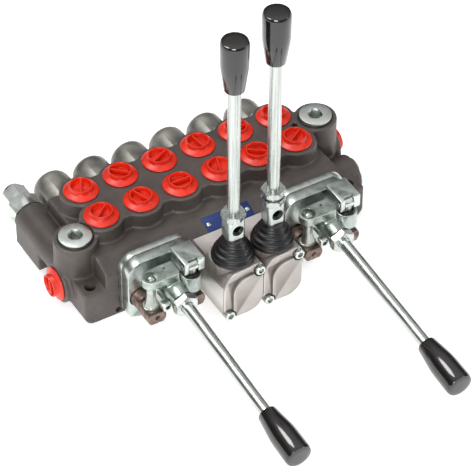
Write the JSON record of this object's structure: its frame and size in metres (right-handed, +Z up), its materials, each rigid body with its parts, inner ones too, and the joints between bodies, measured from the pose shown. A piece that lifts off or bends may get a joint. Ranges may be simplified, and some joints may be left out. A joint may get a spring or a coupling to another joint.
{
  "type": "hydraulic monoblock valve",
  "caption": "Monoblock directional valve with a row of spools, capped ports, two booted upright levers and two cross levers that swing and tilt.",
  "frame": {"origin": "middle of the flat underside, below the middle of the two port rows", "axes": "+X along the row of spools towards the tank end, +Y towards the spring caps, +Z up"},
  "size_m": [0.2804, 0.3621, 0.2795],
  "materials": {
    "body_paint": "satin grey-brown paint on cast iron",
    "plug_plastic": "satin moulded plastic",
    "zinc_plate": "pale zinc plating",
    "spool_steel": "ground steel, light brown",
    "die_cast": "as cast",
    "aluminium_cast": "blasted casting",
    "boot_rubber": "satin moulded rubber",
    "knob_plastic": "glossy moulded plastic"
  },
  "bodies": {
    "root": {"valve_body": "body_paint", "front_port_plug_1": "plug_plastic", "back_port_plug_1": "plug_plastic", "front_port_plug_2": "plug_plastic", "back_port_plug_2": "plug_plastic", "front_port_plug_3": "plug_plastic", "back_port_plug_3": "plug_plastic", "front_port_plug_4": "plug_plastic", "back_port_plug_4": "plug_plastic", "front_port_plug_5": "plug_plastic", "back_port_plug_5": "plug_plastic", "front_port_plug_6": "plug_plastic", "back_port_plug_6": "plug_plastic", "inlet_side_plug": "plug_plastic", "tank_side_plug": "plug_plastic", "inlet_top_plug": "zinc_plate", "tank_top_plug": "zinc_plate", "carryover_plug": "zinc_plate", "relief_valve_cartridge": "zinc_plate", "relief_valve_cap_nut": "zinc_plate", "spring_cap_1": "die_cast", "spring_cap_2": "die_cast", "spring_cap_3": "die_cast", "spring_cap_4": "die_cast", "spring_cap_5": "die_cast", "spring_cap_6": "die_cast", "left_cross_seal_plate": "zinc_plate", "left_cross_lever_bracket": "zinc_plate", "left_stick_housing": "aluminium_cast", "left_stick_housing_cover": "aluminium_cast", "left_stick_boot": "boot_rubber", "right_cross_seal_plate": "zinc_plate", "right_cross_lever_bracket": "zinc_plate", "right_stick_housing": "aluminium_cast", "right_stick_housing_cover": "aluminium_cast", "right_stick_boot": "boot_rubber"},
    "spool_1_slide_body": {"spool_1": "spool_steel", "left_cross_link_post": "zinc_plate"},
    "spool_2_slide_body": {"spool_2": "spool_steel"},
    "spool_3_slide_body": {"spool_3": "spool_steel"},
    "spool_4_slide_body": {"spool_4": "spool_steel"},
    "spool_5_slide_body": {"spool_5": "spool_steel", "right_cross_link_post": "zinc_plate"},
    "spool_6_slide_body": {"spool_6": "spool_steel"},
    "left_tilt_shaft": {"left_cross_tilt_shaft": "spool_steel"},
    "left_cross_lever": {"left_cross_lever_casting": "zinc_plate", "left_cross_rod_nut": "zinc_plate", "left_cross_rod": "zinc_plate", "left_cross_knob": "knob_plastic"},
    "right_tilt_shaft": {"right_cross_tilt_shaft": "spool_steel"},
    "right_cross_lever": {"right_cross_lever_casting": "zinc_plate", "right_cross_rod_nut": "zinc_plate", "right_cross_rod": "zinc_plate", "right_cross_knob": "knob_plastic"},
    "left_stick_lever": {"left_stick_eye_block": "zinc_plate", "left_stick_rod": "zinc_plate", "left_stick_knob": "knob_plastic"},
    "right_stick_lever": {"right_stick_eye_block": "zinc_plate", "right_stick_rod": "zinc_plate", "right_stick_knob": "knob_plastic"}
  },
  "joints": [
    {"name": "left_cross_tilt", "type": "hinge", "parent": "root", "child": "left_tilt_shaft", "pos_m": [-0.0525, -0.0945, 0.059], "axis": [1, 0, 0], "range_deg": [-10, 10], "stiffness_Nm_per_rad": 30},
    {"name": "left_cross_swing", "type": "hinge", "parent": "left_tilt_shaft", "child": "left_cross_lever", "pos_m": [-0.0525, -0.0945, 0.059], "axis": [0, 0, 1], "range_deg": [-9.5, 9.5], "stiffness_Nm_per_rad": 30},
    {"name": "right_cross_tilt", "type": "hinge", "parent": "root", "child": "right_tilt_shaft", "pos_m": [0.0875, -0.0945, 0.059], "axis": [1, 0, 0], "range_deg": [-10, 10], "stiffness_Nm_per_rad": 30},
    {"name": "right_cross_swing", "type": "hinge", "parent": "right_tilt_shaft", "child": "right_cross_lever", "pos_m": [0.0875, -0.0945, 0.059], "axis": [0, 0, 1], "range_deg": [-9.5, 9.5], "stiffness_Nm_per_rad": 30},
    {"name": "left_stick_tilt", "type": "hinge", "parent": "root", "child": "left_stick_lever", "pos_m": [-0.0175, -0.0975, 0.052], "axis": [1, 0, 0], "range_deg": [-14, 14], "stiffness_Nm_per_rad": 10, "deforming": ["left_stick_boot"]},
    {"name": "right_stick_tilt", "type": "hinge", "parent": "root", "child": "right_stick_lever", "pos_m": [0.0175, -0.0975, 0.052], "axis": [1, 0, 0], "range_deg": [-14, 14], "stiffness_Nm_per_rad": 10, "deforming": ["right_stick_boot"]},
    {"name": "spool_1_slide", "type": "slide", "parent": "root", "child": "spool_1_slide_body", "axis": [0, 1, 0], "range_m": [-0.006, 0.006]},
    {"name": "spool_2_slide", "type": "slide", "parent": "root", "child": "spool_2_slide_body", "axis": [0, 1, 0], "range_m": [-0.006, 0.006]},
    {"name": "spool_3_slide", "type": "slide", "parent": "root", "child": "spool_3_slide_body", "axis": [0, 1, 0], "range_m": [-0.006, 0.006]},
    {"name": "spool_4_slide", "type": "slide", "parent": "root", "child": "spool_4_slide_body", "axis": [0, 1, 0], "range_m": [-0.006, 0.006]},
    {"name": "spool_5_slide", "type": "slide", "parent": "root", "child": "spool_5_slide_body", "axis": [0, 1, 0], "range_m": [-0.006, 0.006]},
    {"name": "spool_6_slide", "type": "slide", "parent": "root", "child": "spool_6_slide_body", "axis": [0, 1, 0], "range_m": [-0.006, 0.006]}
  ],
  "couplings": [
    {"joint": "spool_2_slide", "follows": "left_cross_tilt", "m_per_rad": 0.031},
    {"joint": "spool_1_slide", "follows": "left_cross_swing", "m_per_rad": -0.035},
    {"joint": "spool_6_slide", "follows": "right_cross_tilt", "m_per_rad": 0.031},
    {"joint": "spool_5_slide", "follows": "right_cross_swing", "m_per_rad": -0.035},
    {"joint": "spool_3_slide", "follows": "left_stick_tilt", "m_per_rad": 0.024},
    {"joint": "spool_4_slide", "follows": "right_stick_tilt", "m_per_rad": 0.024}
  ]
}
